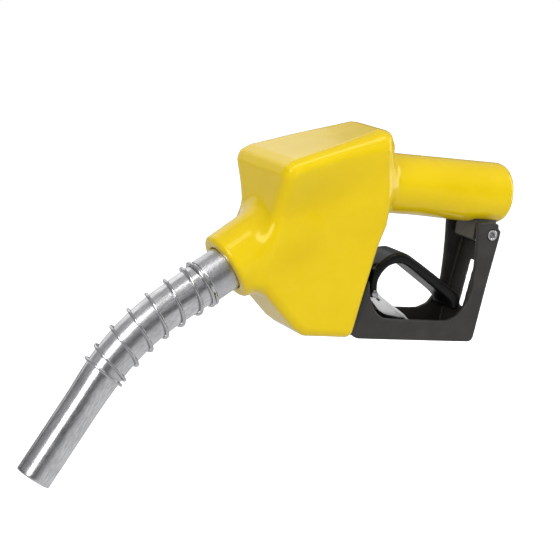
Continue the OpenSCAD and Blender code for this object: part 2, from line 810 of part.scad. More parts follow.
module hold_open_clip() {
    color([0.88, 0.89, 0.88]) difference() {
        union() {
            // two eyes and their cheeks
            for (s = [-1, 1]) {
                inner = s * clip_y - clip_t / 2;
                cross_rod(clip_x, clip_z, clip_eye_r, inner, inner + clip_t);
                slab_between([[-99.6, -76.2], [-95.6, -70.9], [-88.4, -76.4], [-85.9, -78.3], [-66.9, -89],
                              [-67.6, -91.4], [-83.3, -89.3], [-89, -86.4]], inner, inner + clip_t);
            }
            // plate across the cheeks
            slab([[-88.8, -79.4], [-85.9, -78.3], [-66.9, -89], [-60, -94.4], [-61, -95.2], [-67.6, -90.6],
                  [-86.6, -79.9]], 2 * clip_y + clip_t);
        }
        cross_rod(clip_x, clip_z, clip_pin_r + run_fit, -20, 20);
    }
}

body_casting();
hand_cover();
diaphragm_cap();
cap_screws();
diaphragm();
diaphragm_spring();
diaphragm_plates();
latch_pin();
latch_ring();
latch_plunger();
latch_balls();
plunger_guide();
plunger_spring();
valve_cap();
valve_cap_seal();
valve_spring();
valve_poppet();
valve_disc();
valve_stem();
disc_nut();
seat_ring();
packing_nut();
stem_seal();
spout_collar();
collar_seal();
collar_screw();
spout_tube();
sensing_tube();
sensing_fitting();
anchor_spring();
check_seat();
check_poppet();
check_spring();
check_guide();
lever_guard();
guard_rear_screw();
guard_front_screws();
lever();
lever_pad();
lever_pin();
clip_pin();
clip_spring();
hold_open_clip();
inlet_strainer();
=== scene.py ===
import bpy, bmesh, json, math
import numpy as np
from mathutils import Vector, Matrix


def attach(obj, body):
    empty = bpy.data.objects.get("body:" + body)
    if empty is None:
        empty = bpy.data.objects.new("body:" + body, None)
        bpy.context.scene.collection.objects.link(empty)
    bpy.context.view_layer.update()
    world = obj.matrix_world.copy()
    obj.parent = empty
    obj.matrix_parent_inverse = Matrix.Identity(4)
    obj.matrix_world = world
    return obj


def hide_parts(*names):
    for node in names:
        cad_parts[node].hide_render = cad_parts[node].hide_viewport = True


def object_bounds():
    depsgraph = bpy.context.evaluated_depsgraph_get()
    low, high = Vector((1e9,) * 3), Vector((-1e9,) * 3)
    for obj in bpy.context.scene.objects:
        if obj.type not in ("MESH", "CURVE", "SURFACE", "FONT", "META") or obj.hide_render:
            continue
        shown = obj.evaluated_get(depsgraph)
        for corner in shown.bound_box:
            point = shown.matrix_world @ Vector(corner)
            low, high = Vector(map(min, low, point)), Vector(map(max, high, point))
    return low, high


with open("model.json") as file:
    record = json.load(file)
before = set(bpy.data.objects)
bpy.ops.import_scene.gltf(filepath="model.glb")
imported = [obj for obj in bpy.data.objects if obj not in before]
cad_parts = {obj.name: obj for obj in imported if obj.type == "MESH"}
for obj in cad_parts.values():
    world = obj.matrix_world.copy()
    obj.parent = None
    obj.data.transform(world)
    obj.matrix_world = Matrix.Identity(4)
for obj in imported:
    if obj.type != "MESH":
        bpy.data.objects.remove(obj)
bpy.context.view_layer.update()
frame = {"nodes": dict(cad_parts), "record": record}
nodes = frame["nodes"]
MM = 0.001

# ---------------------------------------------------------------- camera and light
scene = bpy.context.scene

CAMERA_TURN = (30.0, 10.5, 8.7)  # degrees from the object's side, above level, and of roll
CAMERA_AT = (-0.67098, -0.87861, 0.11749)
PHOTO_PX, FOCAL_PX, SENSOR_MM = 560, 1564, 36.0


def make_camera():
    """The camera as it was solved from the photo."""
    a, e, roll = (math.radians(v) for v in CAMERA_TURN)
    right = Vector((math.cos(a), -math.sin(a), 0))
    fwd = Vector((math.sin(a) * math.cos(e), math.cos(a) * math.cos(e), -math.sin(e)))
    up = Vector((math.sin(a) * math.sin(e), math.cos(a) * math.sin(e), math.cos(e)))
    r = math.cos(roll) * right + math.sin(roll) * up
    u = -math.sin(roll) * right + math.cos(roll) * up
    data = bpy.data.cameras.new("photo_camera")
    data.sensor_width = SENSOR_MM
    data.lens = SENSOR_MM * FOCAL_PX / PHOTO_PX
    data.clip_start, data.clip_end = 0.05, 20
    cam = bpy.data.objects.new("photo_camera", data)
    scene.collection.objects.link(cam)
    m = Matrix.Identity(4)
    for i in range(3):
        m[i][0], m[i][1], m[i][2] = r[i], u[i], -fwd[i]
        m[i][3] = CAMERA_AT[i]
    cam.matrix_world = m
    scene.camera = cam


make_camera()
scene.view_settings.view_transform = "Standard"

LIT_POINT = (-0.15, 0, -0.06)  # near the middle of the nozzle


def area(name, at, size, energy):
    """A white rectangular light that faces the nozzle."""
    data = bpy.data.lights.new(name, "AREA")
    data.shape = "RECTANGLE"
    data.size, data.size_y = size
    data.energy = energy
    ob = bpy.data.objects.new(name, data)
    scene.collection.objects.link(ob)
    ob.location = at
    ob.rotation_euler = (Vector(LIT_POINT) - Vector(at)).to_track_quat("-Z", "Y").to_euler()
    return ob


area("key_left", (-1.25, -0.55, 0.55), (0.5, 0.9), 7.5)
area("top_strip", (-0.15, -0.35, 1.2), (1.3, 0.35), 4.5)
area("front_fill", (0.05, -1.5, 0.10), (1.3, 1.2), 12.0).visible_glossy = False
area("right_rim", (0.95, -0.2, 0.35), (0.4, 1.0), 3.5)
area("back_fill", (-0.3, 1.3, 0.5), (1.4, 1.2), 4.0)

# the room that reflections see: its strength, its grey straight down and straight up, and greys between
# them, as (height from 0 to 1, grey)
ROOM_STRENGTH = 0.72
ROOM_DOWN, ROOM_UP = 1.0, 0.7
ROOM_GREYS = ((0.40, 0.85), (0.48, 0.42), (0.53, 0.14), (0.60, 0.16), (0.70, 0.50))


def make_world():
    """A white backdrop for the camera, and for all else a dimmer room with a dark band at its horizon."""
    world = bpy.data.worlds.new("studio")
    scene.world = world
    world.use_nodes = True
    t = world.node_tree
    bg, out = t.nodes["Background"], t.nodes["World Output"]
    bg.inputs[0].default_value = (1, 1, 1, 1)
    bg.inputs[1].default_value = 1.0
    room = t.nodes.new("ShaderNodeBackground")
    room.inputs[1].default_value = ROOM_STRENGTH
    co = t.nodes.new("ShaderNodeTexCoord")
    sep = t.nodes.new("ShaderNodeSeparateXYZ")
    t.links.new(co.outputs["Generated"], sep.inputs[0])
    ramp = t.nodes.new("ShaderNodeValToRGB")
    e = ramp.color_ramp.elements
    e[0].position, e[0].color = 0.0, (ROOM_DOWN, ROOM_DOWN, ROOM_DOWN, 1)
    e[1].position, e[1].color = 1.0, (ROOM_UP, ROOM_UP, ROOM_UP, 1)
    for pos, v in ROOM_GREYS:
        e.new(pos).color = (v, v * 1.01, v * 1.03, 1)
    half = t.nodes.new("ShaderNodeMath")
    half.operation = "MULTIPLY_ADD"
    half.inputs[1].default_value, half.inputs[2].default_value = 0.5, 0.5
    t.links.new(sep.outputs[2], half.inputs[0])
    t.links.new(half.outputs[0], ramp.inputs[0])
    t.links.new(ramp.outputs[0], room.inputs[0])
    path = t.nodes.new("ShaderNodeLightPath")
    mix = t.nodes.new("ShaderNodeMixShader")
    t.links.new(path.outputs["Is Camera Ray"], mix.inputs[0])
    t.links.new(room.outputs[0], mix.inputs[1])
    t.links.new(bg.outputs[0], mix.inputs[2])
    t.links.new(mix.outputs[0], out.inputs[0])


make_world()


# ---------------------------------------------------------------- materials
class Mat:
    """A node material with a small vocabulary: noise, ramps, mixes and bumps in object space."""

    def __init__(self, name):
        self.m = bpy.data.materials.new(name)
        self.m.use_nodes = True
        self.t = self.m.node_tree
        self.p = self.t.nodes["Principled BSDF"]
        self.co = self.t.nodes.new("ShaderNodeTexCoord").outputs["Object"]
        self.normal = None

    def set(self, **values):
        for k, v in values.items():
            self.p.inputs[k.replace("_", " ")].default_value = v

    def link(self, a, b):
        self.t.links.new(a, b)

    def mapped(self, scale, source=None):
        n = self.t.nodes.new("ShaderNodeMapping")
        n.inputs["Scale"].default_value = scale
        self.link(source or self.co, n.inputs["Vector"])
        return n.outputs[0]

    def noise(self, scale, detail=3, rough=0.5, vector=None):
        n = self.t.nodes.new("ShaderNodeTexNoise")
        n.inputs["Scale"].default_value = scale
        n.inputs["Detail"].default_value = detail
        n.inputs["Roughness"].default_value = rough
        self.link(vector or self.co, n.inputs["Vector"])
        return n.outputs["Fac"]

    def voronoi(self, scale):
        n = self.t.nodes.new("ShaderNodeTexVoronoi")
        n.inputs["Scale"].default_value = scale
        self.link(self.co, n.inputs["Vector"])
        return n.outputs["Distance"]

    def range(self, fac, a, b, lo=0.3, hi=0.7):
        """Takes lo to hi in fac to a to b."""
        n = self.t.nodes.new("ShaderNodeMapRange")
        n.inputs["From Min"].default_value, n.inputs["From Max"].default_value = lo, hi
        n.inputs["To Min"].default_value, n.inputs["To Max"].default_value = a, b
        self.link(fac, n.inputs["Value"])
        return n.outputs[0]

    def mix(self, fac, a, b):
        n = self.t.nodes.new("ShaderNodeMix")
        n.data_type = "RGBA"
        for sock, v in ((n.inputs[6], a), (n.inputs[7], b)):
            if hasattr(v, "is_output"):
                self.link(v, sock)
            else:
                sock.default_value = (*v, 1)
        self.link(fac, n.inputs[0])
        return n.outputs[2]

    def add(self, a, b):
        n = self.t.nodes.new("ShaderNodeMath")
        n.operation = "ADD"
        self.link(a, n.inputs[0])
        self.link(b, n.inputs[1])
        return n.outputs[0]

    def colour(self, out):
        self.link(out, self.p.inputs["Base Color"])

    def rough(self, out):
        self.link(out, self.p.inputs["Roughness"])

    def bump(self, height, distance, strength):
        """Adds a bump, its distance in metres, to the ones before it."""
        n = self.t.nodes.new("ShaderNodeBump")
        n.inputs["Distance"].default_value = distance
        n.inputs["Strength"].default_value = strength
        self.link(height, n.inputs["Height"])
        if self.normal is not None:
            self.link(self.normal, n.inputs["Normal"])
        self.normal = n.outputs[0]
        self.link(self.normal, self.p.inputs["Normal"])


def skin_yellow():
    """Dipped vinyl: a thin gloss over a yellow with faint clouds, pale specks and a slow wave."""
    k = Mat("dipped_yellow_skin")
    k.set(IOR=1.5, Specular_IOR_Level=0.4, Specular_Tint=(1, 0.86, 0.35, 1))
    k.set(Coat_Weight=0.16, Coat_Roughness=0.04)
    k.set(Subsurface_Weight=0.04, Subsurface_Radius=(0.004, 0.002, 0.0005), Subsurface_Scale=0.6)
    blotch = k.noise(26, 3, 0.55)
    speck = k.noise(420, 2, 0.5)
    body = k.mix(k.range(blotch, 0, 1), (0.78, 0.545, 0.002), (0.83, 0.60, 0.006))
    k.colour(k.mix(k.range(speck, 0.0, 0.08, 0.45, 0.8), body, (0.90, 0.68, 0.08)))
    k.rough(k.range(k.noise(60, 4, 0.6), 0.16, 0.24))
    k.bump(k.noise(34, 2, 0.4), 0.0010, 0.30)
    k.bump(k.noise(1500, 2, 0.5), 0.00004, 0.30)
    return k.m


def cast_grey():
    """Bare sand casting: coarse grain and fine pits."""
    k = Mat("cast_grey")
    tone = (0.155, 0.146, 0.13)
    k.set(Metallic=0.75)
    big, fine = k.noise(90, 4, 0.6), k.noise(1300, 4, 0.65)
    dark = tuple(v * 0.62 for v in tone)
    light = tuple(min(1, v * 1.35) for v in tone)
    k.colour(k.mix(k.range(fine, 0, 1, 0.35, 0.65), k.mix(k.range(big, 0, 1), dark, tone), light))
    k.rough(k.range(fine, 0.55, 0.78))
    k.bump(fine, 0.00018, 0.7)
    k.bump(k.voronoi(700), 0.00012, 0.35)
    return k.m


def metal(name, tone, rough=(0.25, 0.38), metallic=1.0, streak=(60, 60, 2600)):
    """Machined or drawn metal: fine lathe lines across one axis, with small tarnish clouds."""
    k = Mat(name)
    k.set(Metallic=metallic)
    lines = k.noise(1, 3, 0.6, vector=k.mapped(streak))
    cloud = k.noise(120, 4, 0.6)
    pits = k.noise(900, 3, 0.6)
    dull = tuple(v * 0.78 for v in tone)
    k.colour(k.mix(k.range(cloud, 0.0, 0.8, 0.35, 0.7), tone, dull))
    k.rough(k.add(k.range(lines, rough[0], rough[1]), k.range(pits, -0.03, 0.05)))
    k.bump(lines, 0.00003, 0.5)
    k.bump(pits, 0.00002, 0.4)
    return k.m


def brushed_spout():
    """Bright drawn tube: streaks that run along it, faint clouds and a few rub marks."""
    k = Mat("brushed_spout")
    k.set(Metallic=1.0)
    uv = k.t.nodes.new("ShaderNodeUVMap")
    uv.uv_map = "along"
    uvo = uv.outputs[0]
    streak = k.noise(1, 4, 0.65, vector=k.mapped((70, 5, 1), source=uvo))
    hair = k.noise(1, 2, 0.6, vector=k.mapped((420, 24, 1), source=uvo))
    cloud = k.noise(60, 4, 0.6)
    rub = k.noise(240, 4, 0.65)
    tone = k.mix(k.range(streak, 0, 1, 0.35, 0.65), (0.60, 0.60, 0.61), (0.84, 0.84, 0.85))
    tone = k.mix(k.range(cloud, 0.0, 0.35, 0.42, 0.70), tone, (0.36, 0.355, 0.35))
    k.colour(k.mix(k.range(rub, 0.0, 0.22, 0.55, 0.8), tone, (0.50, 0.50, 0.51)))
    k.rough(k.add(k.range(cloud, 0.20, 0.29, 0.35, 0.7), k.range(streak, -0.02, 0.03)))
    k.bump(streak, 0.00002, 0.3)
    k.bump(hair, 0.00001, 0.4)
    k.bump(rub, 0.00001, 0.3)
    return k.m


def painted(name, tone, rough, texture=0.00006, light=(0.16, 0.155, 0.15), gloss=0.45):
    """Powder coat or satin enamel: fine orange peel, and patches rubbed to a lighter tone."""
    k = Mat(name)
    peel, fine, rub = k.noise(1600, 3, 0.55), k.noise(4800, 2, 0.5), k.noise(55, 4, 0.62)
    k.set(Specular_IOR_Level=gloss)
    low, high = tuple(v * 0.86 for v in tone), tuple(v * 1.12 for v in tone)
    k.colour(k.mix(k.range(rub, 0.0, 0.20, 0.45, 0.8), k.mix(k.range(peel, 0, 1), low, high), light))
    k.rough(k.add(k.range(rub, rough[0], rough[1]), k.range(fine, -0.04, 0.04)))
    k.bump(peel, texture, 0.6)
    k.bump(fine, texture * 0.3, 0.4)
    return k.m


def rubber():
    k = Mat("seal_rubber")
    k.set(Specular_IOR_Level=0.3)
    k.colour(k.mix(k.range(k.noise(300, 3), 0, 1), (0.014, 0.014, 0.014), (0.035, 0.034, 0.033)))
    k.rough(k.range(k.noise(900, 3), 0.55, 0.75))
    k.bump(k.noise(1800, 3), 0.00004, 0.5)
    return k.m


MATERIALS = {  # by the record's material slots
    "cover": skin_yellow(),
    "cast_alloy": cast_grey(),
    "machined_alloy": metal("machined_alloy", (0.52, 0.52, 0.53)),
    "spout_alloy": brushed_spout(),
    "collar_alloy": metal("collar_satin", (0.66, 0.66, 0.67), rough=(0.26, 0.38), streak=(900, 900, 900)),
    "brass": metal("turned_brass", (0.72, 0.50, 0.18), rough=(0.22, 0.36)),
    "steel": metal("turned_steel", (0.58, 0.58, 0.60), rough=(0.18, 0.30)),
    "spring_steel": metal("drawn_wire", (0.60, 0.60, 0.61), rough=(0.07, 0.14), streak=(300, 300, 300)),
    "screw_steel": metal("plated_steel", (0.78, 0.78, 0.80), rough=(0.16, 0.26), streak=(400, 400, 400)),
    "clip_steel": metal("stamped_plate", (0.90, 0.91, 0.89), rough=(0.30, 0.42), metallic=0.45,
                        streak=(160, 160, 160)),
    "rubber": rubber(),
    "guard": painted("charcoal_powder_coat", (0.030, 0.028, 0.026), (0.42, 0.56), light=(0.10, 0.097, 0.092)),
    "lever": painted("black_satin_enamel", (0.005, 0.005, 0.005), (0.28, 0.38), texture=0.00003,
                     light=(0.02, 0.02, 0.02), gloss=0.24),
    "plastic": painted("black_acetal", (0.020, 0.020, 0.020), (0.40, 0.50)),
}

for sub in frame["record"]["subparts"]:
    ob = nodes[sub["node"]]
    ob.data.materials.clear()
    ob.data.materials.append(MATERIALS[sub["material_slot"]])


# ---------------------------------------------------------------- mesh helpers
def add_mesh(name, verts, faces, material, body, replaces):
    """A smooth visual piece, from vertices in millimetres, that rides a body and takes a node's place."""
    me = bpy.data.meshes.new(name)
    me.from_pydata([tuple(float(c) * MM for c in v) for v in verts], [],
                   [tuple(int(i) for i in f) for f in faces])
    me.validate()
    me.update()
    ob = bpy.data.objects.new(name, me)
    scene.collection.objects.link(ob)
    me.materials.append(MATERIALS[material])
    for p in me.polygons:
        p.use_smooth = True
    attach(ob, body)
    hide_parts(replaces)
    return ob


def grid_faces(rings, sides):
    """Quads between rings of vertices, each ring closed."""
    i = np.arange(rings - 1)[:, None]
    j = np.arange(sides)[None, :]
    k = (j + 1) % sides
    f = np.stack([i * sides + j, i * sides + k, (i + 1) * sides + k, (i + 1) * sides + j], -1)
    return f.reshape(-1, 4)


def set_uv(ob, name, per_vertex):
    """per_vertex is (u, v), where u runs from 0 to 1 round the piece and closes there."""
    me = ob.data
    layer = me.uv_layers.new(name=name)
    loop_v = np.zeros(len(me.loops), int)
    me.loops.foreach_get("vertex_index", loop_v)
    uv = per_vertex[loop_v].astype(float)
    for p in me.polygons:
        ids = list(p.loop_indices)
        if uv[ids, 0].max() - uv[ids, 0].min() > 0.5:
            low = [q for q in ids if uv[q, 0] < 0.5]
            uv[low, 0] += 1
    layer.data.foreach_set("uv", uv.ravel())


def face_outwards(ob):
    bm = bmesh.new()
    bm.from_mesh(ob.data)
    bmesh.ops.recalc_face_normals(bm, faces=bm.faces)
    bm.to_mesh(ob.data)
    bm.free()


def shade_by_angle(ob, degrees):
    """Sharp edges where the faces turn by more than this, smooth ones elsewhere."""
    bm = bmesh.new()
    bm.from_mesh(ob.data)
    bmesh.ops.remove_doubles(bm, verts=bm.verts, dist=1e-7)
    for f in bm.faces:
        f.smooth = True
    for e in bm.edges:
        if len(e.link_faces) == 2:
            e.smooth = e.calc_face_angle(0) < math.radians(degrees)
    bm.to_mesh(ob.data)
    bm.free()


# ---------------------------------------------------------------- the nozzle's own lines, in millimetres
# the spout's line starts at the middle of the neck's rim, SLOPE below level, and turns down by BEND
SLOPE, BEND, R_BEND = math.radians(36.5), math.radians(25), 160.0
NECK = np.array([-206.0, 0, -64.5])
D1 = np.array([-math.cos(SLOPE), 0, -math.sin(SLOPE)])
X1 = np.array([-math.sin(SLOPE), 0, math.cos(SLOPE)])
ACROSS = np.array([0, 1.0, 0])
S_BEND, S_ARC, S_TIP = 40.8, R_BEND * BEND, 72.7
S_END = S_BEND + S_ARC + S_TIP
TIP_R = 11.9

# the latch and the main valve lean by LEAN, and the lever turns about PIVOT
LEAN = math.radians(19)
PIVOT = (-134.0, -66.0)


def spout_frame(s):
    """Point, forward direction and outer-side direction at distance s from the neck's rim."""
    s = np.asarray(s, float)
    a = np.clip((s - S_BEND) / R_BEND, 0, BEND)
    centre = NECK + S_BEND * D1 - R_BEND * X1
    out = np.cos(a)[..., None] * X1 + np.sin(a)[..., None] * D1
    fwd = np.cos(a)[..., None] * D1 - np.sin(a)[..., None] * X1
    p = centre + R_BEND * out
    p = p + fwd * (np.minimum(s - S_BEND, 0) + np.maximum(s - S_BEND - S_ARC, 0))[..., None]
    return p, fwd, out


def spout_radius(s):
    """The tube's outer radius at distances s, eased from one taper to the next."""
    key = np.array([-20, 17, 40.8, 75.7, 110.6, 124, 400])
    val = np.array([14.3, 14.3, 13.65, 13.1, 12.45, TIP_R, TIP_R])
    return sum(np.interp(s + d, key, val) for d in (-6, -3, 0, 3, 6)) / 5


def latch_frame(x, z):
    """Distance behind the latch axis and height above the lever's pivot."""
    dx, dz = x - PIVOT[0], z - PIVOT[1]
    return dx * math.cos(LEAN) + dz * math.sin(LEAN), dz * math.cos(LEAN) - dx * math.sin(LEAN)


def neck_frame(p):
    """Distance beyond the neck's rim along the spout's first line, and distance from that line."""
    q = p - NECK
    s = q @ D1
    return s, np.sqrt(np.maximum((q * q).sum(-1) - s * s, 0))


# ---------------------------------------------------------------- distance fields: negative inside
def sd_polygon(x, z, pts):
    """Distance to a closed outline."""
    pts = np.asarray(pts, float)
    d = np.full(x.shape, 1e9)
    sign = np.ones(x.shape)
    n = len(pts)
    for i in range(n):
        a, b = pts[i], pts[i - 1]
        ex, ez = b - a
        wx, wz = x - a[0], z - a[1]
        t = np.clip((wx * ex + wz * ez) / (ex * ex + ez * ez), 0, 1)
        d = np.minimum(d, (wx - ex * t) ** 2 + (wz - ez * t) ** 2)
        c1, c2, c3 = z >= a[1], z < b[1], ex * wz > ez * wx
        flip = (c1 & c2 & c3) | (~c1 & ~c2 & ~c3)
        sign = np.where(flip, -sign, sign)
    return sign * np.sqrt(d)


def inset(pts, r):
    """Each edge of a convex polygon moved inwards by r."""
    pts = np.asarray(pts, float)
    n = len(pts)
    area2 = sum(pts[i - 1][0] * pts[i][1] - pts[i][0] * pts[i - 1][1] for i in range(n))
    if area2 < 0:
        pts = pts[::-1]
    out = []
    for i in range(n):
        p0, p1, p2 = pts[i - 1], pts[i], pts[(i + 1) % n]
        e1, e2 = (p1 - p0) / np.linalg.norm(p1 - p0), (p2 - p1) / np.linalg.norm(p2 - p1)
        n1, n2 = np.array([-e1[1], e1[0]]), np.array([-e2[1], e2[0]])
        out.append(p1 + (n1 + n2) * r / (1 + n1 @ n2))
    return np.array(out)


def smin(a, b, k):
    """Both bodies, with a fillet about k wide where they meet."""
    h = np.clip(0.5 + 0.5 * (b - a) / k, 0, 1)
    return b + (a - b) * h - k * h * (1 - h)


def smax(a, b, k):
    """What two bodies share, with its edges eased by k."""
    return -smin(-a, -b, k)


def round_and(a, b, r):
    """What two bodies share, with its edges rounded to radius r."""
    u, v = np.maximum(a + r, 0), np.maximum(b + r, 0)
    return np.minimum(np.maximum(a, b), -r) + np.sqrt(u * u + v * v)


def overlap(*fields):
    """What all the fields share, with sharp edges."""
    d = fields[0]
    for f in fields[1:]:
        d = np.maximum(d, f)
    return d


def cut_from(d, hole, k=0.6):
    return smax(d, -hole, k)


def smooth_step(t):
    t = np.clip(t, 0, 1)
    return t * t * (3 - 2 * t)


def soften(points, rounds=2, cut=0.22):
    """A closed outline with its corners cut back evenly."""
    p = np.asarray(points, float)
    for _ in range(rounds):
        q = np.roll(p, -1, axis=0)
        p = np.stack([p + cut * (q - p), q - cut * (q - p)], 1).reshape(-1, 2)
    return p


def surface_nets(field, lo, hi, h):
    """The field's zero surface on a grid of step h, as one vertex per cell that it crosses, and quads."""
    axes = [np.arange(lo[i], hi[i] + h, h) for i in range(3)]
    n = [len(a) for a in axes]
    f = np.empty(n)
    yy, zz = np.meshgrid(axes[1], axes[2], indexing="ij")
    for i, xv in enumerate(axes[0]):
        f[i] = field(np.stack([np.full_like(yy, xv), yy, zz], -1))
    corners = [(i, j, k) for i in (0, 1) for j in (0, 1) for k in (0, 1)]
    c = [f[i:n[0] - 1 + i, j:n[1] - 1 + j, k:n[2] - 1 + k] for i, j, k in corners]
    inside = sum((q < 0).astype(np.int8) for q in c)
    active = (inside > 0) & (inside < 8)
    idx = np.argwhere(active)
    vals = [q[active] for q in c]
    acc, count = np.zeros((len(idx), 3)), np.zeros(len(idx))
    for a in range(8):
        for b in range(a + 1, 8):
            pa, pb = np.array(corners[a]), np.array(corners[b])
            if np.abs(pa - pb).sum() != 1:
                continue
            va, vb = vals[a], vals[b]
            cross = (va < 0) != (vb < 0)
            t = np.where(cross, va / np.where(cross, va - vb, 1), 0)
            acc += np.where(cross[:, None], pa + t[:, None] * (pb - pa), 0)
            count += cross
    verts = (idx + acc / count[:, None]) * h + np.array([a[0] for a in axes])
    number = -np.ones(active.shape, int)
    number[active] = np.arange(len(idx))
    faces = []
    for ax in range(3):
        o1, o2 = [(1, 2), (2, 0), (0, 1)][ax]
        sl_a, sl_b = [slice(1, m - 1) for m in n], [slice(1, m - 1) for m in n]
        sl_a[ax], sl_b[ax] = slice(0, n[ax] - 1), slice(1, n[ax])
        fa, fb = f[tuple(sl_a)] < 0, f[tuple(sl_b)] < 0
        for flip in (False, True):
            hit = (fa & ~fb) if not flip else (~fa & fb)
            e = np.argwhere(hit)
            base = e + 1
            base[:, ax] = e[:, ax]
            quad = []
            for d1, d2 in ((0, 0), (1, 0), (1, 1), (0, 1)):
                cell = base.copy()
                cell[:, o1] -= d1
                cell[:, o2] -= d2
                quad.append(number[cell[:, 0], cell[:, 1], cell[:, 2]])
            quad = np.stack(quad, -1)
            faces.append(quad[:, ::-1] if flip else quad)
    return verts, np.concatenate(faces)


def settle(verts, field):
    """Moves vertices onto the field's zero along its slope, in three short steps."""
    e = 0.05
    for _ in range(3):
        v = field(verts)
        g = np.stack([(field(verts + d) - field(verts - d)) / (2 * e) for d in np.eye(3) * e], -1)
        g2 = np.maximum((g * g).sum(-1), 0.05)  # keeps flat spots of the field from sending a vertex away
        verts = verts - np.clip(v / g2, -0.5, 0.5)[:, None] * g
    return verts


def solid(name, field, lo, hi, h, material, body, replaces):
    """A piece from a distance field, inside the box lo to hi and on a grid of step h."""
    v, f = surface_nets(field, lo, hi, h)
    return add_mesh(name, settle(v, field), f, material, body, replaces)


# ---------------------------------------------------------------- the dipped skin
BODY = [(-183.6, 13.8), (-190, 9.4), (-191.6, 3), (-190.4, -8), (-189.4, -22), (-191.6, -46), (-191.8, -70),
        (-173, -87), (-160, -98.4), (-152, -103.2), (-115.0, -103.4), (-110.3, -72), (-105.2, -41),
        (-101.3, -26), (-101.6, 6), (-102.6, 18), (-104.2, 28), (-109.2, 36.6), (-117, 37)]
BODY_CORNER = 6.0
BODY_HALF, BODY_SWELL = 24.8, 2.0  # half width at the bottom, and what it gains half way up
BRIM_FROM, BRIM_TO = 52, 90  # heights between which the sides flare out into the brim
BRIM_AT, BRIM_OUT = (-30.4, 56.6), (13.0, 2.2)  # it stands out more at the front than at the rear
NECK_R, NECK_TAPER, NECK_LONG = 22.9, 0.02, 60
HANDLE_R, HANDLE_END, HANDLE_SAG = 20.4, 1.6, 1.6
FILLET = 9.0  # where the neck and the handle meet the body
SKIN, SKIN_EDGE = 2.5, 0.9  # its thickness, and how far the edges of its openings are eased
NECK_BORE, NECK_MOUTH, HANDLE_BORE = 15.5, 19.15, 18.15


def outer_field(p):
    """The skin's outer surface: the body, whose sides are nearly flat below, the neck and the handle."""
    x, y, z = p[..., 0], p[..., 1], p[..., 2]
    prof = sd_polygon(x, z, inset(BODY, BODY_CORNER)) - BODY_CORNER
    a, h = latch_frame(x, z)
    brim = np.interp(a, BRIM_AT, BRIM_OUT)
    flare = (h - BRIM_FROM) / (BRIM_TO - BRIM_FROM)
    half = BODY_HALF + BODY_SWELL * smooth_step((h - 20) / 28) + brim * smooth_step(flare)
    t = np.clip(flare, 0, 1)
    slope = brim * 6 * t * (1 - t) / (BRIM_TO - BRIM_FROM)
    side = (np.abs(y) - half) / np.sqrt(1.01 + slope * slope)
    # the corners are rounder at the top, and most at its rear
    edge = 6.5 + (2.5 + 4.0 * smooth_step((a - 5) / 45)) * smooth_step((h - 30) / 45)
    body = round_and(prof, side, edge)
    s, radial = neck_frame(p)
    neck_r = NECK_R + NECK_TAPER * np.clip(-s, 0, 30)
    neck = round_and(radial - neck_r, np.maximum(s, -s - NECK_LONG), 3.2)
    sag = HANDLE_SAG * smooth_step((x + 75) / 55) * np.clip(-z / 14, 0, 1)
    handle = round_and(np.sqrt(y * y + z * z) - HANDLE_R - sag, np.maximum(x - HANDLE_END, -130 - x), 6.0)
    return smin(smin(body, neck, FILLET), handle, FILLET)


def cover_field(p):
    """The skin as a shell, less its openings."""
    x, y, z = p[..., 0], p[..., 1], p[..., 2]
    d = outer_field(p)
    shell = smax(d, -(d + SKIN), 0.8)
    s, radial = neck_frame(p)
    a, h = latch_frame(x, z)
    openings = [
        overlap(radial - NECK_BORE, s - 20, -s - NECK_LONG),  # for the collar, right through the rim
        overlap(radial - NECK_MOUTH, s + 2.8, -s - NECK_LONG),  # wider behind the rim
        overlap(np.sqrt(y * y + z * z) - HANDLE_BORE, x - 20, -x - 120),  # along the handle
        overlap(np.abs(y) - 21.4, z + 45, -(x + 117 + 0.10 * (z + 100))),  # behind the lower lobe
        overlap(np.abs(y) - 11.6, z + 8, x + 4.4, -x - 24.3),  # round the rear lug
        overlap(np.hypot(a - 30, y) - 6.2, h - 24, 4 - h),  # round the packing nut
    ]
    for opening in openings:
        shell = cut_from(shell, opening, SKIN_EDGE)
    return shell


solid("cover_skin", cover_field, (-236, -40.3, -106), (9, 40.3, 43), 1.15, "cover", "nozzle_body",
      "hand_cover")


# ---------------------------------------------------------------- spout, collar and anchor spring
ROUND = 96  # sides of the spout and the collar
UV_LENGTH = 30.0  # millimetres of spout to one unit of its texture


def sweep_rings(stations, radii):
    """Rings round the spout's line, first index along it."""
    p, _, out = spout_frame(stations)
    a = np.linspace(0, 2 * np.pi, ROUND, endpoint=False)
    ring = np.cos(a)[None, :, None] * out[:, None, :] + np.sin(a)[None, :, None] * ACROSS
    return p[:, None, :] + np.asarray(radii)[:, None, None] * ring


def closed_profile_sweep(name, stations, radii, material, body, replaces):
    """A closed loop of stations and radii swept round the spout's line."""
    stations = np.asarray(stations, float)
    n = len(stations)
    j = np.arange(ROUND)
    k = (j + 1) % ROUND
    last = np.stack([(n - 1) * ROUND + j, (n - 1) * ROUND + k, k, j], -1)
    faces = np.concatenate([grid_faces(n, ROUND), last])[:, ::-1]
    verts = sweep_rings(stations, radii).reshape(-1, 3)
    return add_mesh(name, verts, faces, material, body, replaces)


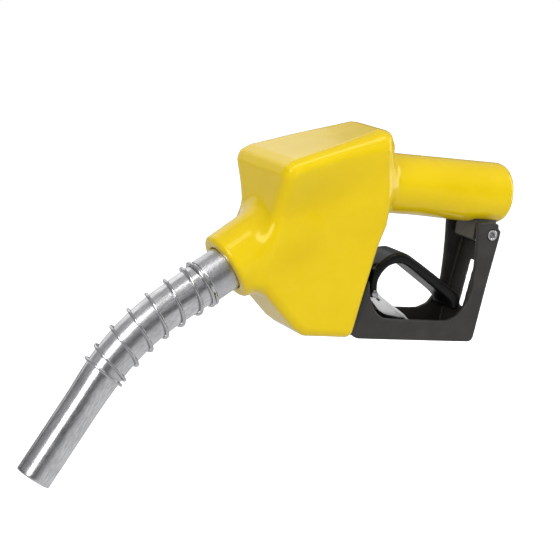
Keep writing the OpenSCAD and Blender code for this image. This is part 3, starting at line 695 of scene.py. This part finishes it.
# the tube from inside the collar to its mouth, over the rounded lip, and back along its bore
TUBE_WALL = 1.5
outside = np.concatenate([[-7.4], np.linspace(-7, S_END - 1.0, 150), [S_END - 0.45, S_END - 0.12]])
outside_r = spout_radius(outside)
outside_r[0] -= 0.4
outside_r[-2] -= 0.08
outside_r[-1] -= 0.32
lip = [S_END, S_END, S_END - 0.12, S_END - 0.5]
lip_r = [TIP_R - 0.62, TIP_R - 0.95, TIP_R - 1.3, TIP_R - TUBE_WALL]
bore = outside[::-1][3:]
tube = np.concatenate([outside, lip, bore])
tube_r = np.concatenate([outside_r, lip_r, spout_radius(bore) - TUBE_WALL])
spout = closed_profile_sweep("spout_skin", tube, tube_r, "spout_alloy", "nozzle_body", "spout_tube")
round_u = np.tile(np.linspace(0, 1, ROUND, endpoint=False), len(tube))
set_uv(spout, "along", np.stack([round_u, np.repeat(tube / UV_LENGTH, ROUND)], -1))

# (station, radius) round the collar's section, from its hidden inner end, over the groove of its seal
COLLAR = [(-21.8, 10.6), (-22, 10.8), (-22, 14.6), (-21.8, 15.0), (-16.3, 15.0), (-16.3, 12.9), (-13.7, 12.9),
          (-13.7, 15.0), (15.2, 15.0), (15.75, 14.93), (16.0, 14.8), (16.0, 14.5), (15.8, 14.42), (15.2, 14.4),
          (-8, 14.4), (-8, 10.6)]
collar = closed_profile_sweep("collar_skin", *zip(*COLLAR), "collar_alloy", "nozzle_body", "spout_collar")
shade_by_angle(collar, 32)


def wire(name, centres, radius, sides, body, replaces):
    """A round wire along a line of centres, with closed, slightly tapered ends."""
    c = np.asarray(centres, float)
    tang = np.gradient(c, axis=0)
    tang /= np.linalg.norm(tang, axis=1)[:, None]
    nrm = np.empty_like(c)
    first = np.cross(tang[0], [0.3, 1.0, 0.2])
    nrm[0] = first / np.linalg.norm(first)
    for i in range(1, len(c)):
        v = nrm[i - 1] - (nrm[i - 1] @ tang[i]) * tang[i]
        nrm[i] = v / np.linalg.norm(v)
    bi = np.cross(tang, nrm)
    b = np.linspace(0, 2 * np.pi, sides, endpoint=False)
    r = np.full(len(c), radius)
    r[[0, -1]] *= 0.7
    ring = np.cos(b)[None, :, None] * nrm[:, None] + np.sin(b)[None, :, None] * bi[:, None]
    verts = (c[:, None] + r[:, None, None] * ring).reshape(-1, 3)
    m = (len(c) - 1) * sides
    faces = [tuple(f)[::-1] for f in grid_faces(len(c), sides)]
    faces += [tuple(range(sides)), tuple(m + i for i in range(sides))[::-1]]
    face_outwards(add_mesh(name, verts, faces, "spring_steel", body, replaces))


WIRE_R, WIRE_GAP = 1.08, 0.35
TURNS, START = 8.2, 0.3  # START is where the first coil begins, in turns from the spout's outer side
ANCHOR_FROM, ANCHOR_TO = 17.2, S_BEND + S_ARC - 6
# share of the turns made against share of the length covered: the coils lie closer at both ends
RISE = ([0, 0.122, 0.207, 0.817, 0.878, 0.939, 1], [0, 0.0235, 0.081, 0.886, 0.959, 0.982, 1])


def anchor_centres():
    """The anchor spring's centreline."""
    t = np.linspace(0, 1, int(TURNS * 60) + 1)
    rise = sum(np.interp(np.clip(t + d, 0, 1), *RISE) for d in (-0.02, -0.01, 0, 0.01, 0.02)) / 5
    s = ANCHOR_FROM + (ANCHOR_TO - ANCHOR_FROM) * rise
    p, _, out = spout_frame(s)
    a = -2 * np.pi * (START + TURNS * t)
    radial = np.cos(a)[:, None] * out + np.sin(a)[:, None] * ACROSS
    return p + radial * (spout_radius(s) + WIRE_R + WIRE_GAP)[:, None]


wire("anchor_wire", anchor_centres(), WIRE_R, 14, "nozzle_body", "anchor_spring")


# ---------------------------------------------------------------- lever
# outlines in x and z
ARM = [(-101, -67), (-100.6, -63), (-99.2, -58.7), (-96.4, -54.2), (-92.5, -50.7), (-88.6, -47.8),
       (-85.2, -46.1), (-78.8, -45), (-74.5, -46), (-70.7, -47.8), (-53.8, -56.7), (-28.3, -71.2),
       (-25.2, -74.4), (-24.2, -78.4), (-25.2, -82.4), (-28, -84.2), (-30.6, -83), (-31.6, -79.6), (-36.7, -75),
       (-56.6, -63.6), (-71, -55.2), (-77, -53), (-82.6, -53), (-86.8, -54.4), (-89.8, -56.6), (-92.2, -59.6),
       (-93.6, -62), (-95, -66), (-94, -74), (-95, -76.6), (-97, -77.6), (-99, -76.6), (-100.2, -74)]
ARM_GAP = [(-108, -84), (-90.4, -84), (-90.4, -64), (-91.6, -58), (-94, -57), (-96.8, -58.4), (-97.4, -54),
           (-104, -50), (-108, -60)]
# outlines in the latch's own frame
TONGUE = [(-4.6, -4.6), (0, -6.5), (20, -9.6), (38, -14), (43.5, -10), (44, -3.5), (40, -1.6), (24, -1.2),
          (8, 5.8), (2, 6.4), (-4, 5), (-6.4, 0)]
TONGUE_POCKET = [(12, -4.2), (34, -8.6), (37, -5.6), (24, -3.6), (13, 0.2)]
RIB = [(33.5, -9), (38.6, -8.6), (39.6, -3.6), (34.5, -3)]
ARM_HALF, ARM_GAP_HALF, TONGUE_HALF, POCKET_FROM, RIB_HALF, FORK_HALF = 13.0, 9.15, 8.0, 6.2, 12.4, 5.4
PIVOT_HOLE, STEM_PAD_AT, STEM_PAD_R = 2.65, 30, 3.6
CLIP_AT, CLIP_HOLE = (-97.0, -74.0), 1.75  # the clip's pin, in x and z


def lever_field(p):
    """The arm's hollow arch, the tongue that the pivot holds, and the cuts for the parts it works with."""
    x, y, z = p[..., 0], np.abs(p[..., 1]), p[..., 2]
    arm = round_and(sd_polygon(x, z, soften(ARM)), y - ARM_HALF, 2.7)
    arm = cut_from(arm, overlap(sd_polygon(x, z, ARM_GAP), y - ARM_GAP_HALF), 1.4)
    a, h = latch_frame(x, z)
    tongue = round_and(sd_polygon(a, h, soften(TONGUE, 1)), y - TONGUE_HALF, 1.5)
    tongue = cut_from(tongue, overlap(sd_polygon(a, h, soften(TONGUE_POCKET, 1)), POCKET_FROM - y), 0.8)
    rib = round_and(sd_polygon(a, h, RIB), y - RIB_HALF, 1.0)
    d = smin(smin(arm, tongue, 2.0), rib, 1.6)
    d = cut_from(d, overlap(overlap(np.abs(a), np.abs(h)) - 9, y - FORK_HALF))
    d = cut_from(d, np.hypot(a, h) - PIVOT_HOLE, 0.3)
    d = cut_from(d, np.hypot(x - CLIP_AT[0], z - CLIP_AT[1]) - CLIP_HOLE, 0.3)
    return cut_from(d, overlap(np.hypot(a - STEM_PAD_AT, y) - STEM_PAD_R, np.abs(h + 0.3) - 2.3), 0.3)


solid("lever_cast", lever_field, (-143, -14, -87), (-22, 14.5, -42), 0.72, "lever", "lever", "lever")


# ---------------------------------------------------------------- guard
# outlines in x and z
GUARD = [(-26.0, -19.8), (-12.7, -18.9), (-9.2, -19.9), (-8.8, -22.9), (-6.2, -24.6), (-10.8, -63),
         (-14.3, -100), (-15.4, -102.8), (-18, -104), (-108, -104), (-111.4, -103), (-114, -99.4),
         (-120, -98.4), (-151, -98.4), (-158.5, -92), (-165.5, -86), (-170.5, -79.5), (-167, -73), (-156, -74),
         (-150, -86), (-113, -86), (-106.8, -62), (-104.5, -74.7), (-101, -81.6), (-96.8, -86), (-91, -89.4),
         (-83, -90), (-39.3, -89.8), (-30.6, -86), (-23.9, -76), (-22.1, -68), (-22.6, -53.5), (-23.9, -39),
         (-26.1, -22)]
GUARD_FLOOR = [(-14.8, -100.6), (-15.4, -102.8), (-18, -104), (-108, -104), (-111.4, -103), (-114, -99.6),
               (-109, -99.9), (-107, -100.6)]
GUARD_WEB = [(-9.2, -36), (-7.7, -36), (-10.8, -63), (-14.3, -100), (-15.4, -102.8), (-19, -102.8),
             (-14.2, -63), (-11, -36)]
WEB_SLOT = [(-4, -49), (-17, -49), (-21, -83), (-8, -83)]
PLATE_MIDDLE, PLATE_HALF, WEB_HALF, SLOT_HALF, JOGGLE = 18.75, 1.75, 19.0, 4.2, 1.3
# the holes of the two fixings, in x and z
REAR_SCREW, REAR_HOLE = (-13.4, -27.6), 3.95
FRONT_SCREW, FRONT_HOLE = (-164, -80.5), 2.65


def guard_field(p):
    """Two plates, with a floor and a slotted web between them."""
    x, y, z = p[..., 0], np.abs(p[..., 1]), p[..., 2]
    # ahead of a crease the plates are joggled inwards, to pass inside the cover, and then out again
    ahead = -0.95 * (x + 104.4) + 0.311 * (z + 72.6)
    joggle = JOGGLE * np.clip(ahead / 5, 0, 1) * (1 - np.clip((ahead - 14) / 8, 0, 1)) * (x < -95)
    sides = np.abs(y + joggle - PLATE_MIDDLE) - PLATE_HALF
    plate = round_and(sd_polygon(x, z, soften(GUARD, 1, 0.12)), sides, 0.8)
    bottom = round_and(sd_polygon(x, z, GUARD_FLOOR), y - WEB_HALF, 0.5)
    web = round_and(sd_polygon(x, z, GUARD_WEB), y - WEB_HALF, 0.5)
    slot = round_and(sd_polygon(x, z, WEB_SLOT), y - SLOT_HALF, 2.0)
    d = smin(plate, smin(bottom, cut_from(web, slot, 0.5), 1.0), 1.2)
    d = cut_from(d, np.hypot(x - REAR_SCREW[0], z - REAR_SCREW[1]) - REAR_HOLE, 0.4)
    return cut_from(d, np.hypot(x - FRONT_SCREW[0], z - FRONT_SCREW[1]) - FRONT_HOLE, 0.4)


solid("guard_pressed", guard_field, (-172.5, -21.6, -105.4), (-4.5, 21.6, -16), 0.86, "guard", "nozzle_body",
      "lever_guard")


# ---------------------------------------------------------------- hold-open clip
# outlines in x and z
CHEEK = [(-99.6, -76.2), (-95.6, -70.9), (-88.4, -76.4), (-85.9, -78.3), (-66.9, -89), (-67.6, -91.4),
         (-83.3, -89.3), (-89, -86.4)]
CLIP_PLATE = [(-88.8, -79.4), (-85.9, -78.3), (-66.9, -89), (-60, -94.4), (-61, -95.2), (-67.6, -90.6),
              (-86.6, -79.9)]
CHEEK_MIDDLE, CLIP_SHEET = 8.0, 1.2
CLIP_EYE, CLIP_BORE = 3.4, 1.68
NOTCH_AT, NOTCH_ALONG, NOTCH_LONG, NOTCH_R = (-92.6, -77.0), (0.775, -0.632), 4.2, 0.75


def clip_field(p):
    """Two cheeks with eyes for the pin, and the plate that joins them."""
    x, y, z = p[..., 0], np.abs(p[..., 1]), p[..., 2]
    side = np.abs(y - CHEEK_MIDDLE) - CLIP_SHEET / 2
    cheek = round_and(sd_polygon(x, z, soften(CHEEK, 1, 0.15)), side, 0.3)
    r = np.hypot(x - CLIP_AT[0], z - CLIP_AT[1])
    eye = round_and(r - CLIP_EYE, side, 0.3)
    plate = round_and(sd_polygon(x, z, CLIP_PLATE), y - (CHEEK_MIDDLE + CLIP_SHEET / 2), 0.3)
    d = smin(smin(cheek, eye, 0.8), plate, 0.8)
    # a short slot behind the eye
    dx, dz = x - NOTCH_AT[0], z - NOTCH_AT[1]
    s = np.clip(dx * NOTCH_ALONG[0] + dz * NOTCH_ALONG[1], 0, NOTCH_LONG)
    notch = np.hypot(dx - s * NOTCH_ALONG[0], dz - s * NOTCH_ALONG[1]) - NOTCH_R
    return cut_from(cut_from(d, notch, 0.2), r - CLIP_BORE, 0.2)


solid("clip_stamping", clip_field, (-101.5, -9.4, -96.4), (-58.8, 9.6, -69.6), 0.40, "clip_steel", "clip",
      "hold_open_clip")


def clip_spring_centres():
    """Torsion spring round the clip's pin, one leg on the lever and one on the clip's plate."""
    turns, r, half = 5, 2.75, 2.9
    a = np.linspace(-0.2, 2 * np.pi * turns + 1.3, 26 * turns)
    y = np.linspace(-half, half, len(a))
    coil = np.stack([CLIP_AT[0] + r * np.cos(a), y, CLIP_AT[1] + r * np.sin(a)], -1)
    t0, t1 = coil[0] - coil[1], coil[-1] - coil[-2]
    t0, t1 = t0 / np.linalg.norm(t0), t1 / np.linalg.norm(t1)
    lead = [coil[0] + t0 * k for k in np.linspace(5.5, 0.4, 10)]
    tail = [coil[-1] + t1 * k for k in np.linspace(0.4, 4.5, 9)]
    return np.concatenate([lead, coil, tail])


wire("clip_torsion", clip_spring_centres(), 0.5, 10, "lever", "clip_spring")


# ---------------------------------------------------------------- turned pins and screws
def turned(name, profile, x, z, sides, material, body, replaces):
    """A piece turned about a line across the nozzle.

    The points of its profile are (y, radius), or (y, radius, "hex") where its section is a hexagon.
    """
    side, up = np.array([1.0, 0, 0]), np.array([0, 0, 1.0])
    a = np.linspace(0, 2 * np.pi, sides, endpoint=False)
    hexagon = math.cos(math.pi / 6) / np.cos((a % (math.pi / 3)) - math.pi / 6)
    rings = []
    for point in profile:
        r = point[1] * (hexagon if len(point) > 2 else 1)
        rings.append(np.array([x, point[0], z]) + (r * np.cos(a))[:, None] * side
                     + (r * np.sin(a))[:, None] * up)
    last = (len(profile) - 1) * sides
    faces = [tuple(f) for f in grid_faces(len(profile), sides)]
    faces += [tuple(range(sides))[::-1], tuple(last + i for i in range(sides))]
    ob = add_mesh(name, np.concatenate(rings), faces, material, body, replaces)
    face_outwards(ob)
    shade_by_angle(ob, 26)


SCREW_END = 21.1
# one end of the screw, from the bottom of its hexagon socket outwards
end = [(SCREW_END - 5.5, 0.4, "hex"), (SCREW_END - 5.5, 2.3, "hex"), (SCREW_END - 0.5, 2.4, "hex"),
       (SCREW_END - 0.12, 2.6), (SCREW_END, 2.75), (SCREW_END, 3.4), (SCREW_END - 0.12, 3.62),
       (SCREW_END - 0.45, 3.8)]
screw = [(-p[0], *p[1:]) for p in end] + end[::-1]
turned("guard_rear_bolt", screw, *REAR_SCREW, 60, "screw_steel", "nozzle_body", "guard_rear_screw")

pin = [(-14.6, 1.0), (-14.5, 1.7), (-14.1, 2.35), (-13.6, 2.6), (-13.25, 2.55), (-13.15, 1.58), (12.4, 1.58),
       (12.55, 1.3), (12.75, 1.3), (12.85, 1.58), (13.2, 1.5), (13.4, 1.1), (13.4, 0.4)]
turned("clip_rivet", pin, *CLIP_AT, 36, "steel", "lever", "clip_pin")


# ---------------------------------------------------------------- floor
def floor_mat():
    """Pale grey with a glow of its own, so that it passes into the white behind it."""
    k = Mat("pale_floor")
    k.colour(k.mix(k.range(k.noise(3, 3), 0, 1), (0.86, 0.86, 0.86), (0.90, 0.90, 0.90)))
    k.rough(k.range(k.noise(8, 3), 0.75, 0.9))
    k.bump(k.noise(200, 2), 0.0001, 0.2)
    k.set(Emission_Color=(1, 1, 1, 1), Emission_Strength=0.85)
    return k.m


FLOOR_DROP, FLOOR_HALF = 0.05, 6  # metres
lo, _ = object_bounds()
bm = bmesh.new()
bmesh.ops.create_grid(bm, x_segments=4, y_segments=4, size=FLOOR_HALF)
me = bpy.data.meshes.new("floor")
bm.to_mesh(me)
bm.free()
floor = bpy.data.objects.new("floor", me)
floor.location = (0, 0, lo.z - FLOOR_DROP)
scene.collection.objects.link(floor)
me.materials.append(floor_mat())
floor.visible_glossy = False
floor.visible_diffuse = False
